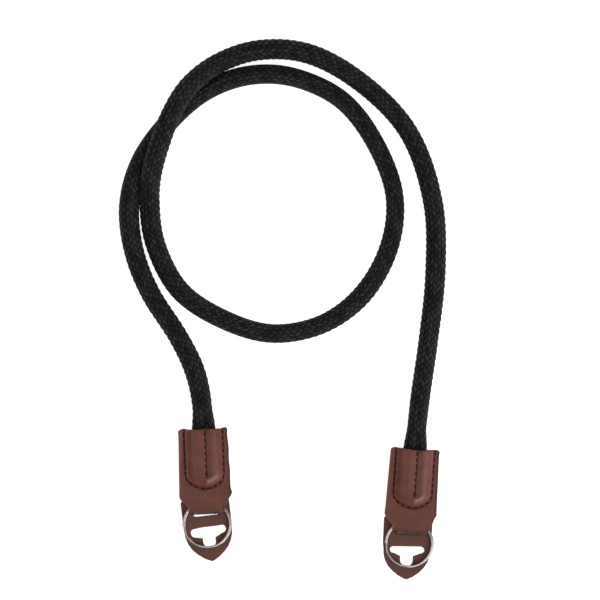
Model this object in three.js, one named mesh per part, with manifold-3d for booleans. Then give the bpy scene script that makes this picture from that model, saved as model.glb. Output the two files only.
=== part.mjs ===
// A camera strap made of one length of braided climbing rope, lying on a flat surface.
// Each rope end is stitched into a folded leather tab. The fold holds a split ring, and a
// leather protector hangs on the same fold, under the ring, to keep the metal off the camera.
// Millimetres, +Z up, the surface at z = 0, the origin midway between the two leather ends.
import * as THREE from 'three';
import { mergeVertices } from 'three/addons/utils/BufferGeometryUtils.js';
import Module from 'manifold-3d';

const wasm = await Module();
wasm.setup();

// Rope
const ropeDiameter = 9.6;
const ropeWidthInTab = 12.2;
const ropeDepthInTab = 23.5;
const ropeFlattening = 12;
const ropeFill = 1.09;
const ropeSectionSpacing = 13;

// Leather tab, from its mouth, where the rope goes in, to its fold
const tabLeather = 1.6;
const foldLeather = 1.3;
const foldCornerRadius = 0.9;
const seamMargin = 2.4;
const mouthCornerRadius = 1.6;
const shoulderFlare = 0.8;
const shoulderHeight = 6.3;
const shoulderBend = 2.2;
const neckWidth = 17.6;
const foldWidth = 10.5;
const foldNotchCorner = 1.2;
const foldNotchStart = 0.7;
const frontNotchDepth = 0.7;
const frontNotchCorner = 0.8;
const loopLength = 7.9;
const pocketPastRope = 6.2;
const pocketBesideRope = 3.9;
const pocketEndLength = 7;
const pocketRise = 4.3;
const grooveDepth = 1.3;
const grooveWidth = 6.8;
const seamLength = 0.6;
const partingAngle = 48;

// Protector, measured from its pointed tip up to its top edge
const protectorLeather = 1.8;
const protectorSideBar = 5.8;
const protectorCornerRadius = 1.4;
const slitCornerRadius = 1.2;
const tipCurveLength = 17;
const tipCurveShares = [[0.65, 0.15], [1, 0.44]];
const slotStemFromTip = 6.4;
const slotStemWidth = 6.4;
const slotTopFromTip = 16.9;
const slotBarMargin = 3.4;
const slotBarEndHeight = 3.8;
const slotBarStemHeight = 4.7;
const middleBarWidth = 5.7;
const topBarWidth = 4.4;

// Split ring of flat wire, wound in two coils
const ringDiameter = 25.2;
const ringWireWidth = 1.4;
const ringWireHeight = 1;
const ringWireEase = 0.2;
const coilGap = 0.1;
const ringEndAngle = 215;
const ringEndGap = 2;
const ringJogSpan = 30;

// Where the ring lies in the fold: to the right of the tab's middle line, and pushed in from
// where its inner edge would touch the fold
const ringAside = 0.4;
const ringPushedIn = 3.1;

// Room left between pieces
const clearance = 0.3;
const ropeEase = 0.5;
const loopEase = 0.3;

// How finely round forms are drawn, and how close two points are to count as one
const ropeSides = 12;
const ringSteps = 66;
const pocketEndSegments = 32;
const foldSegments = 5;
const outlineSegments = 6;
const slotSegments = 6;
const samePlace = 1e-4;

// How the strap lies: its two mouths from side to side, how much further up the left one is,
// how far above the origin they are on average, and how far the right protector has slipped
const mouthsApart = 108.1;
const mouthsOffset = 9.9;
const mouthsAboveOrigin = 32.85;
const protectorSlip = 0.75;

// How each end lies: the middle of its mouth and its turn, then how far its protector has swung
// on the fold and slipped along it
const ends = [
  {
    side: 'left',
    x: -mouthsApart / 2,
    y: mouthsAboveOrigin + mouthsOffset / 2,
    turn: 2.3,
    swing: 4.6,
    slip: 0,
  },
  {
    side: 'right',
    x: mouthsApart / 2,
    y: mouthsAboveOrigin - mouthsOffset / 2,
    turn: -4,
    swing: 1.3,
    slip: -protectorSlip,
  },
];

// The rope's way from the left tab to the right one. Each row is x, y and how far the rope is
// lifted off the surface, in rope diameters, where it passes over itself.
const route = [
  [-54.9, 53.0, 0],
  [-58.8, 68.7, 0],
  [-66.6, 84.5, 0],
  [-80.7, 107.3, 0],
  [-88.7, 126.7, 0],
  [-91.9, 148.2, 0],
  [-89.2, 166.7, 0],
  [-80.0, 184.1, 0],
  [-58.5, 206.4, 0],
  [-39.5, 216.4, 0],
  [-20.1, 218.9, 0],
  [-2.0, 215.7, 0],
  [17.5, 205.2, 0],
  [33.0, 185.5, 0],
  [43.7, 157.2, 0],
  [41.5, 131.2, 0],
  [27.8, 106.7, 0],
  [7.5, 91.6, 0],
  [-18.0, 86.6, 0],
  [-42.0, 92.9, 0],
  [-65.5, 108.2, 0],
  [-78.3, 132.2, 0],
  [-80.9, 153.7, 0.1],
  [-79.7, 166.7, 0.53],
  [-76.0, 182.7, 1],
  [-70.0, 197.7, 1.04],
  [-60.9, 211.9, 0.93],
  [-46.5, 223.5, 0.45],
  [-26.0, 230.9, 0],
  [-1.0, 229.2, 0],
  [26.0, 215.0, 0],
  [50.5, 189.3, 0],
  [63.5, 153.7, 0],
  [64.7, 117.7, 0],
  [60.8, 82.2, 0],
  [56.7, 52.6, 0],
];

// Sizes that follow from the ones above
const pocketLength = ropeDepthInTab + pocketPastRope;
const pocketWidth = ropeWidthInTab + 2 * pocketBesideRope;
const mouthWidth = pocketWidth + 2 * seamMargin;
const shoulderWidth = mouthWidth + 2 * shoulderFlare;
const ringHeight = 2 * ringWireHeight + coilGap;
const ringInnerRadius = ringDiameter / 2 - ringWireWidth;
const widestSwing = Math.max(...ends.map((end) => Math.abs(end.swing)));
const swingSlope = Math.sin(THREE.MathUtils.degToRad(widestSwing));
const widestSlip = Math.max(...ends.map((end) => Math.abs(end.slip)));

// Height of the pocket's roof above the middle of the leather, across the tab
function pocketRoof(across) {
  const share = across / (pocketWidth / 2);
  const groove = Math.max(0, 1 - (across / (grooveWidth / 2)) ** 2) ** 2;
  return pocketRise * (1 - Math.abs(share) ** 3) - grooveDepth * groove;
}

// Places across half the pocket, as shares of its half width, where its section has a corner
const pocketShares = [0, 0.1, 0.2, 0.32, 0.45, 0.58, 0.7, 0.8, 0.89, 0.96];
const roofHeights = pocketShares.map((share) => pocketRoof((share * pocketWidth) / 2));
const tabMiddle = tabLeather + Math.max(...roofHeights);

// The loop under the fold holds the protector's top bar and the ring, with room to lie sloping
const loopHeight = 3 * clearance + protectorLeather + ringHeight + loopEase;
const neckHeight = loopHeight + 2 * tabLeather;
const partingRun = (tabMiddle - tabLeather) / Math.tan(THREE.MathUtils.degToRad(partingAngle));
const partingStart = -(pocketLength + seamLength);
const loopStart = partingStart - partingRun;
const foldInside = loopStart - loopLength;
const foldEdge = foldInside - foldLeather;
const notchEnd = foldInside + foldNotchStart * foldCornerRadius;
const frontNotchEnd = foldEdge + frontNotchDepth;
const neckEnd = notchEnd + foldNotchCorner;
const slitLength = foldWidth + 4 * clearance + 2 * widestSlip;
const protectorWidth = slitLength + 2 * protectorSideBar;
const protectorTop = loopStart - clearance - (protectorWidth / 2) * swingSlope;
const slitTop = protectorTop - topBarWidth;
const slitSwing = (slitLength / 2) * swingSlope;
const slotBarLength = protectorWidth - 2 * slotBarMargin;
const slitFromTip = slotTopFromTip + middleBarWidth;
const slitHeight = slitTop - foldEdge + clearance + slitSwing;
const protectorLength = slitFromTip + slitHeight + topBarWidth;

// The protector slopes from the fold down to the surface, where its tip rests
const barFromTip = slitFromTip + slitHeight;
const lieAngle = Math.asin((tabLeather + clearance) / barFromTip);
const ringReach = Math.sqrt((ringInnerRadius - clearance) ** 2 - (foldWidth / 2 + ringAside) ** 2);
const ringCentre = foldInside - ringReach + ringPushedIn;

const materials = {
  rope: new THREE.MeshStandardMaterial({ color: 0x1e1e20, roughness: 0.85, metalness: 0 }),
  tab: new THREE.MeshStandardMaterial({ color: 0x6a4238, roughness: 0.5, metalness: 0 }),
  protector: new THREE.MeshStandardMaterial({ color: 0x5c3831, roughness: 0.65, metalness: 0 }),
  ring: new THREE.MeshStandardMaterial({ color: 0xc9c6c2, roughness: 0.2, metalness: 1 }),
};

function toSolid(geometry) {
  const bare = geometry.clone();
  bare.deleteAttribute('normal');
  bare.deleteAttribute('uv');
  const merged = mergeVertices(bare, samePlace);
  return new wasm.Manifold(new wasm.Mesh({
    numProp: 3,
    vertProperties: new Float32Array(merged.attributes.position.array),
    triVerts: new Uint32Array(merged.index.array),
  }));
}

function toGeometry(solid) {
  const mesh = solid.getMesh();
  const geometry = new THREE.BufferGeometry();
  geometry.setAttribute('position', new THREE.BufferAttribute(new Float32Array(mesh.vertProperties), 3));
  geometry.setIndex(new THREE.BufferAttribute(new Uint32Array(mesh.triVerts), 1));
  geometry.computeVertexNormals();
  return geometry;
}

// A shape drawn in X and Z, extruded towards -Y from a start
function extrudeTowardsFold(shape, start, length) {
  const geometry = new THREE.ExtrudeGeometry(shape, { depth: length, bevelEnabled: false });
  return geometry.rotateX(Math.PI / 2).translate(0, start, 0);
}

// A section with the same corners left, right, up and down, from the corners of one quarter
function mirroredShape(quarter) {
  const rightSide = [...quarter, ...quarter.map(([x, z]) => [x, -z]).reverse()];
  const corners = [...rightSide, ...rightSide.map(([x, z]) => [-x, z]).reverse()];
  const apart = corners.filter(([x, z], i) => {
    const [nextX, nextZ] = corners[(i + 1) % corners.length];
    return Math.hypot(nextX - x, nextZ - z) > samePlace;
  });
  return new THREE.Shape(apart.map(([x, z]) => new THREE.Vector2(x, z)));
}

// The padded form round the rope end: straight from the mouth, with a rounded end at the bottom
function pillow(quarter, start) {
  const straightEnd = pocketEndLength - pocketLength;
  const joint = 0.05;
  const straight = extrudeTowardsFold(mirroredShape(quarter), start, start - straightEnd);
  const outline = [...quarter.map(([x, z]) => [x, -z]), ...[...quarter].reverse()]
    .filter(([x, z], i, all) => i === 0 || Math.hypot(all[i - 1][0] - x, all[i - 1][1] - z) > samePlace)
    .map(([x, z]) => new THREE.Vector2(x, z));
  const turned = new THREE.LatheGeometry(outline, pocketEndSegments)
    .rotateX(Math.PI / 2)
    .scale(1, pocketEndLength / (pocketWidth / 2), 1)
    .translate(0, straightEnd, 0);
  const cutter = new THREE.BoxGeometry(2 * pocketWidth, pocketWidth, 2 * pocketWidth)
    .translate(0, straightEnd + joint - pocketWidth / 2, 0);
  const roundEnd = toSolid(turned).intersect(toSolid(cutter));
  return toSolid(straight).add(roundEnd).translate(0, 0, tabMiddle);
}

// The strip seen from the side: two layers together at the seam, then parted round the loop
function tabSideShape(start) {
  const slope = THREE.MathUtils.degToRad(partingAngle);
  const underside = tabMiddle - tabLeather;
  const backShift = tabLeather / Math.sin(slope);
  const backFoot = loopStart + backShift - tabLeather / Math.tan(slope);
  const backTop = backFoot + underside / Math.tan(slope);
  const outerRadius = foldCornerRadius + foldLeather;
  const shape = new THREE.Shape();
  shape.moveTo(start, underside);
  shape.lineTo(backTop, underside);
  shape.lineTo(backFoot, 0);
  shape.lineTo(foldEdge + outerRadius, 0);
  shape.absarc(foldEdge + outerRadius, outerRadius, outerRadius, -Math.PI / 2, -Math.PI, true);
  shape.absarc(foldEdge + outerRadius, neckHeight - outerRadius, outerRadius, Math.PI, Math.PI / 2, true);
  shape.lineTo(loopStart, neckHeight);
  shape.lineTo(partingStart, tabMiddle + tabLeather);
  shape.lineTo(start, tabMiddle + tabLeather);
  shape.closePath();

  const arcX = foldInside + foldCornerRadius;
  const loopTop = tabLeather + loopHeight;
  const hole = new THREE.Path();
  hole.moveTo(partingStart, tabMiddle);
  hole.lineTo(loopStart, loopTop);
  hole.lineTo(arcX, loopTop);
  hole.absarc(arcX, loopTop - foldCornerRadius, foldCornerRadius, Math.PI / 2, Math.PI, false);
  hole.absarc(arcX, tabLeather + foldCornerRadius, foldCornerRadius, Math.PI, Math.PI * 1.5, false);
  hole.lineTo(loopStart, tabLeather);
  hole.closePath();
  shape.holes.push(hole);
  return shape;
}

// The tab seen from above: a straight mouth, wide shoulders and a neck. Past the notch it is
// narrower, because the fold goes through the protector's slit there.
function tabOutline(notchY, notchCorner) {
  const halfMouth = mouthWidth / 2;
  const halfShoulder = shoulderWidth / 2;
  const halfNeck = neckWidth / 2;
  const shoulderY = neckEnd + shoulderHeight;
  const lowBendY = neckEnd + shoulderBend;
  const highBendY = shoulderY - shoulderBend;
  const halfFold = foldWidth / 2;
  const pastFold = foldEdge - foldLeather;
  const shape = new THREE.Shape();
  shape.moveTo(-halfFold, pastFold);
  shape.lineTo(halfFold, pastFold);
  shape.lineTo(halfFold, notchY);
  shape.quadraticCurveTo(halfNeck, notchY, halfNeck, notchY + notchCorner);
  shape.lineTo(halfNeck, neckEnd);
  shape.bezierCurveTo(halfNeck, lowBendY, halfShoulder, highBendY, halfShoulder, shoulderY);
  shape.lineTo(halfMouth, -mouthCornerRadius);
  shape.quadraticCurveTo(halfMouth, 0, halfMouth - mouthCornerRadius, 0);
  shape.lineTo(mouthCornerRadius - halfMouth, 0);
  shape.quadraticCurveTo(-halfMouth, 0, -halfMouth, -mouthCornerRadius);
  shape.lineTo(-halfShoulder, shoulderY);
  shape.bezierCurveTo(-halfShoulder, highBendY, -halfNeck, lowBendY, -halfNeck, neckEnd);
  shape.lineTo(-halfNeck, notchY + notchCorner);
  shape.quadraticCurveTo(-halfNeck, notchY, -halfFold, notchY);
  shape.closePath();
  return shape;
}

function tabGeometry() {
  const overrun = 2;
  const width = shoulderWidth + 2 * overrun;
  const sideOptions = { depth: width, bevelEnabled: false, curveSegments: foldSegments };
  const side = new THREE.ExtrudeGeometry(tabSideShape(overrun), sideOptions)
    .rotateX(Math.PI / 2)
    .rotateZ(Math.PI / 2)
    .translate(-width / 2, 0, 0);
  const height = neckHeight + 2 * tabMiddle;
  const outlineOptions = { depth: height, bevelEnabled: false, curveSegments: outlineSegments };
  const outline = new THREE.ExtrudeGeometry(tabOutline(notchEnd, foldNotchCorner), outlineOptions)
    .translate(0, 0, -overrun);

  // The front layer keeps its full width until it has begun to bend down
  const frontOutline = new THREE.ExtrudeGeometry(tabOutline(frontNotchEnd, frontNotchCorner), outlineOptions)
    .translate(0, 0, tabLeather + loopHeight - clearance);

  // The outer form runs a little under the flat margins, and the pocket closes just short of them
  const half = pocketWidth / 2;
  const outerRim = 1.03 * half;
  const innerRim = 0.985 * half;
  const outer = pocketShares.map((share, i) => [share * half, roofHeights[i] + tabLeather]);
  outer.push([outerRim, tabLeather + pocketRoof(outerRim)]);
  const inner = pocketShares.map((share, i) => [share * half, roofHeights[i]]);
  inner.push([innerRim, 0]);

  const solid = toSolid(side)
    .add(pillow(outer, overrun))
    .intersect(toSolid(outline).add(toSolid(frontOutline)))
    .subtract(pillow(inner, overrun * 2));
  return toGeometry(solid);
}

// The protector lies flat here, with the middle of its slit at the origin and its tip towards -Y
function protectorGeometry() {
  const half = protectorWidth / 2;
  const tip = -(slitFromTip + slitHeight / 2);
  const top = tip + protectorLength;
  const shape = new THREE.Shape();
  shape.moveTo(0, tip);
  const [[nearWidth, nearHeight], [farWidth, farHeight]] = tipCurveShares;
  const nearX = half * nearWidth;
  const nearY = tip + tipCurveLength * nearHeight;
  const farX = half * farWidth;
  const farY = tip + tipCurveLength * farHeight;
  shape.bezierCurveTo(nearX, nearY, farX, farY, half, tip + tipCurveLength);
  shape.lineTo(half, top - protectorCornerRadius);
  shape.quadraticCurveTo(half, top, half - protectorCornerRadius, top);
  shape.lineTo(protectorCornerRadius - half, top);
  shape.quadraticCurveTo(-half, top, -half, top - protectorCornerRadius);
  shape.lineTo(-half, tip + tipCurveLength);
  shape.bezierCurveTo(-farX, farY, -nearX, nearY, 0, tip);

  const slitX = slitLength / 2 - slitCornerRadius;
  const slitY = slitHeight / 2 - slitCornerRadius;
  const slit = new THREE.Path();
  slit.moveTo(-slitX, slitY + slitCornerRadius);
  slit.absarc(-slitX, slitY, slitCornerRadius, Math.PI / 2, Math.PI, false);
  slit.absarc(-slitX, -slitY, slitCornerRadius, Math.PI, Math.PI * 1.5, false);
  slit.absarc(slitX, -slitY, slitCornerRadius, -Math.PI / 2, 0, false);
  slit.absarc(slitX, slitY, slitCornerRadius, 0, Math.PI / 2, false);
  slit.closePath();

  // The T-shaped slot that the protector is pushed over the camera's lug with
  const barRadius = slotBarEndHeight / 2;
  const barX = slotBarLength / 2 - barRadius;
  const barY = tip + slotTopFromTip - barRadius;
  const stemRadius = slotStemWidth / 2;
  const stemTop = tip + slotTopFromTip - slotBarStemHeight;
  const stemY = tip + slotStemFromTip + stemRadius;
  const slot = new THREE.Path();
  slot.moveTo(-barX, barY + barRadius);
  slot.absarc(-barX, barY, barRadius, Math.PI / 2, Math.PI * 1.5, false);
  slot.lineTo(-stemRadius, stemTop);
  slot.lineTo(-stemRadius, stemY);
  slot.absarc(0, stemY, stemRadius, Math.PI, Math.PI * 2, false);
  slot.lineTo(stemRadius, stemTop);
  slot.lineTo(barX, barY - barRadius);
  slot.absarc(barX, barY, barRadius, -Math.PI / 2, Math.PI / 2, false);
  slot.closePath();

  shape.holes.push(slit, slot);
  const options = { depth: protectorLeather, bevelEnabled: false, curveSegments: slotSegments };
  return new THREE.ExtrudeGeometry(shape, options);
}

// The middle line of the ring's wire: round once, up by one wire, and round again
class RingWire extends THREE.Curve {
  getPoint(t, target = new THREE.Vector3()) {
    const fullTurn = 360;
    const turned = t * (2 * fullTurn - ringJogSpan - ringEndGap);
    const jog = THREE.MathUtils.smoothstep(turned, fullTurn - ringJogSpan, fullTurn);
    const angle = THREE.MathUtils.degToRad(ringEndAngle + turned);
    const radius = (ringDiameter - ringWireWidth) / 2;
    const height = ringWireHeight / 2 + jog * (ringWireHeight + coilGap);
    return target.set(radius * Math.cos(angle), radius * Math.sin(angle), height);
  }
}

function ringGeometry() {
  const halfHeight = ringWireHeight / 2;
  const halfWidth = ringWireWidth / 2;
  const flatHeight = halfHeight - ringWireEase;
  const flatWidth = halfWidth - ringWireEase;
  const section = new THREE.Shape([
    new THREE.Vector2(halfHeight, -flatWidth),
    new THREE.Vector2(halfHeight, flatWidth),
    new THREE.Vector2(flatHeight, halfWidth),
    new THREE.Vector2(-flatHeight, halfWidth),
    new THREE.Vector2(-halfHeight, flatWidth),
    new THREE.Vector2(-halfHeight, -flatWidth),
    new THREE.Vector2(-flatHeight, -halfWidth),
    new THREE.Vector2(flatHeight, -halfWidth),
  ]);
  const extrudePath = new RingWire();
  return new THREE.ExtrudeGeometry(section, { steps: ringSteps, bevelEnabled: false, extrudePath });
}

// A place inside a tab, so far from its mouth towards its fold
function placeInTab(end, depth) {
  const turn = THREE.MathUtils.degToRad(end.turn);
  return new THREE.Vector3(end.x + depth * Math.sin(turn), end.y - depth * Math.cos(turn), tabMiddle);
}

// The rope's middle line, with its sections set close together where it flattens into a tab.
// It is never lower than the rope lying on the surface.
class RopeLine extends THREE.Curve {
  constructor() {
    super();
    const [left, right] = ends;
    const third = ropeDepthInTab / 3;
    const radius = ropeDiameter / 2;
    this.line = new THREE.CatmullRomCurve3([
      placeInTab(left, ropeDepthInTab),
      placeInTab(left, third),
      ...route.map(([x, y, lift]) => new THREE.Vector3(x, y, radius + ropeDiameter * lift)),
      placeInTab(right, third),
      placeInTab(right, ropeDepthInTab),
    ]);
    this.line.arcLengthDivisions = 1200;
    const length = this.line.getLength();
    const near = [0, 0.5, 1].map((share) => share * ropeDepthInTab);
    near.push(...[0.25, 0.5, 0.75, 1].map((share) => ropeDepthInTab + share * ropeFlattening));
    const first = near[near.length - 1];
    const free = length - 2 * first;
    const count = Math.round(free / ropeSectionSpacing);
    const middle = Array.from({ length: count - 1 }, (_, i) => first + (free * (i + 1)) / count);
    this.stations = [...near, ...middle, ...near.map((place) => length - place).reverse()];
    this.length = length;
  }

  getPoint(t, target = new THREE.Vector3()) {
    const place = t * (this.stations.length - 1);
    const before = Math.min(Math.floor(place), this.stations.length - 2);
    const along = THREE.MathUtils.lerp(this.stations[before], this.stations[before + 1], place - before);
    this.line.getPointAt(along / this.length, target);
    target.z = Math.max(target.z, ropeDiameter / 2);
    return target;
  }

  getUtoTmapping(u) {
    return u;
  }
}

// How round the rope is at a distance outside a mouth: 0 inside the tab, 1 where it is free
function roundness(outside) {
  return THREE.MathUtils.smoothstep(outside, clearance, ropeFlattening);
}

function ropeGeometry() {
  const path = new RopeLine();
  const radius = ropeDiameter / 2;
  const sectionReach = 1.1 * radius;
  const section = new THREE.Shape().absarc(0, 0, radius, 0, Math.PI * 2, false);
  const steps = path.stations.length - 1;
  const geometry = new THREE.ExtrudeGeometry(section, {
    steps,
    curveSegments: ropeSides,
    bevelEnabled: false,
    extrudePath: path,
  });
  const centres = path.stations.map((_, i) => path.getPoint(i / steps));
  const directions = path.stations.map((place) => path.line.getTangentAt(place / path.length));
  const places = geometry.attributes.position;
  const point = new THREE.Vector3();
  const offset = new THREE.Vector3();
  for (const end of ends) {
    const turn = THREE.MathUtils.degToRad(end.turn);
    const outward = new THREE.Vector3(-Math.sin(turn), Math.cos(turn), 0);
    const across = new THREE.Vector3(Math.cos(turn), Math.sin(turn), 0);
    const mouth = new THREE.Vector3(end.x, end.y, tabMiddle);
    for (let i = 0; i < places.count; i += 1) {
      point.fromBufferAttribute(places, i);
      const reach = point.distanceTo(mouth);
      if (reach < ropeDepthInTab + ropeDiameter) {
        const own = centres.reduce((best, centre, k) => {
          offset.subVectors(point, centre);
          const away = Math.abs(offset.dot(directions[k])) + (offset.length() > sectionReach ? radius : 0);
          return away < best.away ? { away, centre } : best;
        }, { away: Infinity, centre: null });
        offset.subVectors(point, own.centre);
        const outside = offset.copy(own.centre).sub(mouth).dot(outward);
        offset.subVectors(point, own.centre);
        const side = offset.dot(across);
        const flatSide = (side * ropeWidthInTab) / ropeDiameter;
        const roof = pocketRoof(flatSide) - ropeEase;
        const flatUp = Math.sign(offset.z) * Math.min(ropeFill * Math.abs(offset.z), Math.max(roof, 0));
        const round = roundness(outside);
        const newSide = THREE.MathUtils.lerp(flatSide, side, round);
        const newUp = THREE.MathUtils.lerp(flatUp, offset.z, round);
        point.addScaledVector(across, newSide - side);
        point.z += newUp - offset.z;
        places.setXYZ(i, point.x, point.y, point.z);
      }
    }
  }
  return geometry;
}

function addMesh(parent, name, geometry, material) {
  const mesh = new THREE.Mesh(geometry, material);
  mesh.name = name;
  parent.add(mesh);
  return mesh;
}

// One leather end: the tab, and under its fold the protector and the ring, both lying sloping
function strapEnd(end) {
  const group = new THREE.Group();
  group.position.set(end.x, end.y, 0);
  group.rotation.z = THREE.MathUtils.degToRad(end.turn);
  addMesh(group, `tab_${end.side}`, tabGeometry(), materials.tab);

  const lying = new THREE.Group();
  const pivotBelowBar = slitHeight / 2;
  const pivotHeight = tabLeather + clearance - pivotBelowBar * Math.sin(lieAngle);
  lying.position.set(0, slitTop - pivotBelowBar * Math.cos(lieAngle), pivotHeight);
  lying.rotation.x = lieAngle;
  group.add(lying);

  const protector = addMesh(lying, `protector_${end.side}`, protectorGeometry(), materials.protector);
  const ownSlope = Math.sin(THREE.MathUtils.degToRad(Math.abs(end.swing)));
  const rise = (slitLength / 2) * (swingSlope - ownSlope);
  protector.position.set(end.slip, rise, 0);
  protector.rotation.z = THREE.MathUtils.degToRad(end.swing);
  const ring = addMesh(lying, `ring_${end.side}`, ringGeometry(), materials.ring);
  const ringY = (ringCentre - lying.position.y) / Math.cos(lieAngle);
  ring.position.set(ringAside, ringY, protectorLeather + clearance);
  return group;
}

const strap = new THREE.Group();
addMesh(strap, 'rope', ropeGeometry(), materials.rope);
for (const end of ends) {
  strap.add(strapEnd(end));
}

export default strap;
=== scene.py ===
import math

import bpy
import numpy as np
from mathutils import Matrix, Vector


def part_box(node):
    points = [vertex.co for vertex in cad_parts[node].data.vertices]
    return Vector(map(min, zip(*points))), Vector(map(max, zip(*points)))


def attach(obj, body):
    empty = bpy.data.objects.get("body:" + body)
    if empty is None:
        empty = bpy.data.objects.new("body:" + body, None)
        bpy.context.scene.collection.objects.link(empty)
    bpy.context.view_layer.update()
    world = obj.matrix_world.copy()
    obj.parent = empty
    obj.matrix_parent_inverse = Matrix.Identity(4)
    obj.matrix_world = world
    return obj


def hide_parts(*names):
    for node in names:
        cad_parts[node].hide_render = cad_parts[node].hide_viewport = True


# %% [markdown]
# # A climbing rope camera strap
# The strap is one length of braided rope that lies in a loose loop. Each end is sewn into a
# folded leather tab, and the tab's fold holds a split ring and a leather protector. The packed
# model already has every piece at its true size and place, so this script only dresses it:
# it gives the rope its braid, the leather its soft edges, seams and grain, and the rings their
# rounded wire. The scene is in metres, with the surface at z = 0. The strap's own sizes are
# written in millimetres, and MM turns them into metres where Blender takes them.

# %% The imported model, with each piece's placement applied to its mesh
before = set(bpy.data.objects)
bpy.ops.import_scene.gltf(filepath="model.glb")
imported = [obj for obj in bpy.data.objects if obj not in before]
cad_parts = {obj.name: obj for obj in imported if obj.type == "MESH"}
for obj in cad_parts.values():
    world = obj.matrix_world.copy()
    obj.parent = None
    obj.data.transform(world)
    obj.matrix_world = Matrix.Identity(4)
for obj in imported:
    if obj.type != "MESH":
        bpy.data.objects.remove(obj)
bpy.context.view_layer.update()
MM = 0.001


def in_mm(lengths):
    return [round(length / MM, 1) for length in lengths]


print("pieces of the packed model:", ", ".join(sorted(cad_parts)))

# %% [markdown]
# ## Camera
# The photograph looks straight down on the strap through a long lens, so round things stay
# round out to the corners. A camera two metres up with a narrow field of view does the same.

# %% Camera straight above the strap
PHOTO_WIDTH = 306 * MM
CAMERA_HEIGHT = 2.0
SENSOR_WIDTH = 36
photo_centre = Vector((-4.49 * MM, 103.59 * MM, 0))
camera_data = bpy.data.cameras.new("photo_camera")
camera_data.sensor_width = SENSOR_WIDTH
camera_data.lens = SENSOR_WIDTH * CAMERA_HEIGHT / PHOTO_WIDTH
camera = bpy.data.objects.new("photo_camera", camera_data)
camera.location = photo_centre + Vector((0, 0, CAMERA_HEIGHT))
bpy.context.scene.collection.objects.link(camera)
bpy.context.scene.camera = camera
print("lens in mm:", round(camera_data.lens, 1))

# %% [markdown]
# ## Surface and light
# The strap was photographed on a bright white sweep that shows almost no shadow. The surface
# here is a large plane with a little glow of its own, which lifts the shadows, and three soft
# boxes light it. The strongest is long and stands low on the lower right, because the gloss on
# the leather is a wide crescent on the lower right of each rope end.

# %% A plain pale surface
FLOOR_SIZE = 6.0
FLOOR_DROP = 0.05 * MM
FLOOR_PAINT = {
    "Base Color": (0.9, 0.9, 0.9, 1),
    "Roughness": 0.9,
    "Specular IOR Level": 0.1,
    "Emission Color": (1, 1, 1, 1),
    "Emission Strength": 0.85,
}


def deselect_all():
    for thing in bpy.context.selected_objects:
        thing.select_set(False)


def pick(piece):
    deselect_all()
    piece.select_set(True)
    bpy.context.view_layer.objects.active = piece


deselect_all()
bpy.ops.mesh.primitive_plane_add(size=FLOOR_SIZE, location=(0, 0, -FLOOR_DROP))
floor = bpy.context.object
floor.name = "white_surface"
white = bpy.data.materials.new("white_surface_paint")
white.use_nodes = True
for socket, value in FLOOR_PAINT.items():
    white.node_tree.nodes["Principled BSDF"].inputs[socket].default_value = value
floor.data.materials.append(white)
print("surface in metres:", FLOOR_SIZE, "by", FLOOR_SIZE)

# %% Soft boxes
LIT_PLACE = Vector((0, 0.06, 0))


def soft_box(name, place, width, height, watts):
    lamp = bpy.data.lights.new(name, "AREA")
    lamp.shape = "RECTANGLE"
    lamp.size = width
    lamp.size_y = height
    lamp.energy = watts
    box = bpy.data.objects.new(name, lamp)
    box.location = Vector(place)
    aim = LIT_PLACE - Vector(place)
    box.rotation_euler = aim.to_track_quat("-Z", "Y").to_euler()
    bpy.context.scene.collection.objects.link(box)
    print(name, "at", place, "gives", watts, "watts")


soft_box("key_box", place=(0.95, -0.95, 0.9), width=2.2, height=0.9, watts=18)
soft_box("left_box", place=(-1.0, 0.1, 1.4), width=0.8, height=0.8, watts=1.2)
soft_box("back_box", place=(0.15, 1.25, 1.2), width=0.7, height=0.7, watts=2.5)
bpy.context.scene.view_settings.view_transform = "Standard"

# %% [markdown]
# ## Building a finish
# Every finish starts from the same shader and adds nodes for what the eye sees on the real
# thing: grain, fibres, worn edges. A few small helpers keep that short. One adds a node with
# its settings and joins whatever sockets it is given, and others do a sum, colour a value by a
# ramp, or lay a value between two limits. Patterns are laid out in millimetres of the piece.

# %% Helpers for finishes
def start_finish(name):
    finish = bpy.data.materials.new(name)
    finish.use_nodes = True
    tree = finish.node_tree
    return finish, tree, tree.nodes["Principled BSDF"]


def add(tree, kind, inputs=(), **settings):
    node = tree.nodes.new("ShaderNode" + kind)
    for key, value in settings.items():
        setattr(node, key, value)
    for key, value in dict(inputs).items():
        set_input(tree, node, key, value)
    return node


def set_input(tree, node, key, value):
    if isinstance(value, bpy.types.NodeSocket):
        tree.links.new(value, node.inputs[key])
    else:
        node.inputs[key].default_value = value


def maths(tree, operation, *values):
    return add(tree, "Math", dict(enumerate(values)), operation=operation).outputs[0]


def between(tree, share, start, stop):
    return maths(tree, "MULTIPLY_ADD", share, stop - start, start)


def ramp(tree, factor, *stops):
    node = add(tree, "ValToRGB", {"Fac": factor})
    elements = node.color_ramp.elements
    while len(elements) < len(stops):
        elements.new(0.5)
    for element, (place, colour) in zip(elements, stops):
        element.position = place
        element.color = (*colour, 1)
    return node.outputs["Color"]


def millimetres(tree):
    place = add(tree, "TexCoord").outputs["Object"]
    return add(tree, "VectorMath", {0: place, "Scale": 1 / MM}, operation="SCALE").outputs[0]


# %% [markdown]
# ## The room round the strap
# Polished metal and waxed leather show what stands round them, so the world is painted as a
# plain studio, by height alone: a dark skirting, walls a little lighter, and a pale ceiling
# that also lifts the shadows. A picture of a real room would do too, but says no more here.

# %% A room with a pale ceiling and dark walls
SKIRTING = (0.08, 0.08, 0.08)
WALL = (0.18, 0.18, 0.18)
CEILING = (0.5, 0.5, 0.5)
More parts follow.
